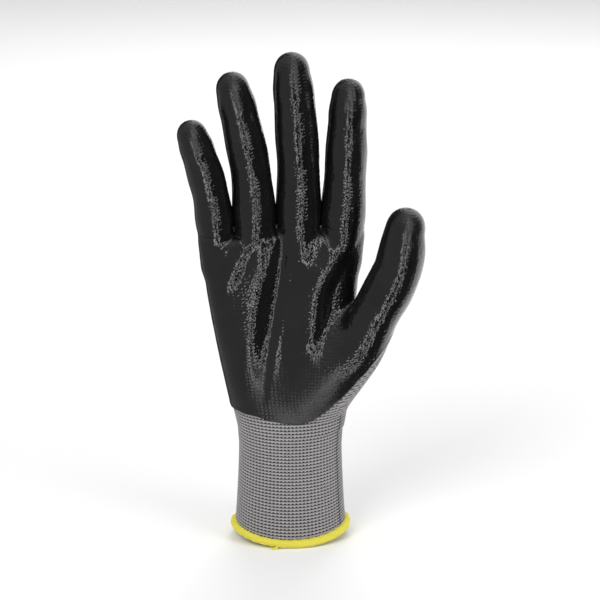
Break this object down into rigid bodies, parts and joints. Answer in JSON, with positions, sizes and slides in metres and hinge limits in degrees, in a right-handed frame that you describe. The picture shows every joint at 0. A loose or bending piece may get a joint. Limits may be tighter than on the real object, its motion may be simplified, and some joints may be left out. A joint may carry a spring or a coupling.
{
  "type": "work glove",
  "caption": "right-hand work glove with knitted grey liner, black rubber-coated palm and fingers, ribbed elastic cuff and yellow overlocked hem, held open as if worn",
  "frame": {"origin": "centre of the hand opening, level with the lowest point of the hem", "axes": "+Z runs from the hem to the fingertips, -Y is the palm side, +X is the thumb side"},
  "size_m": [0.1235, 0.0576, 0.2495],
  "materials": {
    "knit_liner": "matte",
    "rubber_coating": "satin",
    "hem_thread": "matte",
    "elastic_yarn": "matte"
  },
  "bodies": {
    "cuff": {"cuff_knit": "knit_liner", "cuff_elastic_yarn": "elastic_yarn", "hem_overlock": "hem_thread"},
    "hand": {"hand_liner": "knit_liner", "palm_coating": "rubber_coating"},
    "little_proximal": {"little_proximal_liner": "knit_liner", "little_proximal_coating": "rubber_coating"},
    "little_middle": {"little_middle_liner": "knit_liner", "little_middle_coating": "rubber_coating"},
    "little_distal": {"little_distal_liner": "knit_liner", "little_distal_coating": "rubber_coating"},
    "ring_proximal": {"ring_proximal_liner": "knit_liner", "ring_proximal_coating": "rubber_coating"},
    "ring_middle": {"ring_middle_liner": "knit_liner", "ring_middle_coating": "rubber_coating"},
    "ring_distal": {"ring_distal_liner": "knit_liner", "ring_distal_coating": "rubber_coating"},
    "middle_proximal": {"middle_proximal_liner": "knit_liner", "middle_proximal_coating": "rubber_coating"},
    "middle_middle": {"middle_middle_liner": "knit_liner", "middle_middle_coating": "rubber_coating"},
    "middle_distal": {"middle_distal_liner": "knit_liner", "middle_distal_coating": "rubber_coating"},
    "index_proximal": {"index_proximal_liner": "knit_liner", "index_proximal_coating": "rubber_coating"},
    "index_middle": {"index_middle_liner": "knit_liner", "index_middle_coating": "rubber_coating"},
    "index_distal": {"index_distal_liner": "knit_liner", "index_distal_coating": "rubber_coating"},
    "thumb_proximal": {"thumb_proximal_liner": "knit_liner", "thumb_proximal_coating": "rubber_coating"},
    "thumb_distal": {"thumb_distal_liner": "knit_liner", "thumb_distal_coating": "rubber_coating"}
  },
  "joints": [
    {"name": "wrist_bend", "type": "hinge", "parent": "cuff", "child": "hand", "pos_m": [0, 0, 0.056], "axis": [1, 0, 0], "range_deg": [-35, 40], "stiffness_Nm_per_rad": 0.3},
    {"name": "little_root_bend", "type": "hinge", "parent": "hand", "child": "little_proximal", "pos_m": [-0.0373, 0.002, 0.156], "axis": [1, 0, 0], "range_deg": [-10, 70], "stiffness_Nm_per_rad": 0.03},
    {"name": "little_middle_knuckle_bend", "type": "hinge", "parent": "little_proximal", "child": "little_middle", "pos_m": [-0.03921, 0.00085, 0.17789], "axis": [1, 0, 0], "range_deg": [0, 80], "stiffness_Nm_per_rad": 0.02},
    {"name": "little_end_knuckle_bend", "type": "hinge", "parent": "little_middle", "child": "little_distal", "pos_m": [-0.04434, -0.00194, 0.19702], "axis": [1, 0, 0], "range_deg": [0, 50], "stiffness_Nm_per_rad": 0.012},
    {"name": "ring_root_bend", "type": "hinge", "parent": "hand", "child": "ring_proximal", "pos_m": [-0.0172, 0.002, 0.159], "axis": [1, 0, 0], "range_deg": [-10, 70], "stiffness_Nm_per_rad": 0.03},
    {"name": "ring_middle_knuckle_bend", "type": "hinge", "parent": "ring_proximal", "child": "ring_middle", "pos_m": [-0.01929, 0.00043, 0.18889], "axis": [1, 0, 0], "range_deg": [0, 80], "stiffness_Nm_per_rad": 0.02},
    {"name": "ring_end_knuckle_bend", "type": "hinge", "parent": "ring_middle", "child": "ring_distal", "pos_m": [-0.02458, -0.00347, 0.2161], "axis": [1, 0, 0], "range_deg": [0, 50], "stiffness_Nm_per_rad": 0.012},
    {"name": "middle_root_bend", "type": "hinge", "parent": "hand", "child": "middle_proximal", "pos_m": [0.0042, 0.002, 0.159], "axis": [1, 0, 0], "range_deg": [-10, 70], "stiffness_Nm_per_rad": 0.03},
    {"name": "middle_middle_knuckle_bend", "type": "hinge", "parent": "middle_proximal", "child": "middle_middle", "pos_m": [0.0042, 0.00027, 0.19195], "axis": [1, 0, 0], "range_deg": [0, 80], "stiffness_Nm_per_rad": 0.02},
    {"name": "middle_end_knuckle_bend", "type": "hinge", "parent": "middle_middle", "child": "middle_distal", "pos_m": [0.00213, -0.0039, 0.22159], "axis": [1, 0, 0], "range_deg": [0, 50], "stiffness_Nm_per_rad": 0.012},
    {"name": "index_root_bend", "type": "hinge", "parent": "hand", "child": "index_proximal", "pos_m": [0.0261, 0.002, 0.158], "axis": [1, 0, 0], "range_deg": [-10, 70], "stiffness_Nm_per_rad": 0.03},
    {"name": "index_middle_knuckle_bend", "type": "hinge", "parent": "index_proximal", "child": "index_middle", "pos_m": [0.02756, 0.00053, 0.18592], "axis": [1, 0, 0], "range_deg": [0, 80], "stiffness_Nm_per_rad": 0.02},
    {"name": "index_end_knuckle_bend", "type": "hinge", "parent": "index_middle", "child": "index_distal", "pos_m": [0.02801, -0.00308, 0.21167], "axis": [1, 0, 0], "range_deg": [0, 50], "stiffness_Nm_per_rad": 0.012},
    {"name": "thumb_root_bend", "type": "hinge", "parent": "hand", "child": "thumb_proximal", "pos_m": [0.043, -0.0137, 0.118], "axis": [-0.596, 0.6964, 0.3998], "range_deg": [-25, 0], "stiffness_Nm_per_rad": 0.03},
    {"name": "thumb_knuckle_bend", "type": "hinge", "parent": "thumb_proximal", "child": "thumb_distal", "pos_m": [0.05362, -0.0183, 0.14184], "axis": [-0.6368, 0.6941, 0.3358], "range_deg": [-55, 0], "stiffness_Nm_per_rad": 0.012}
  ]
}
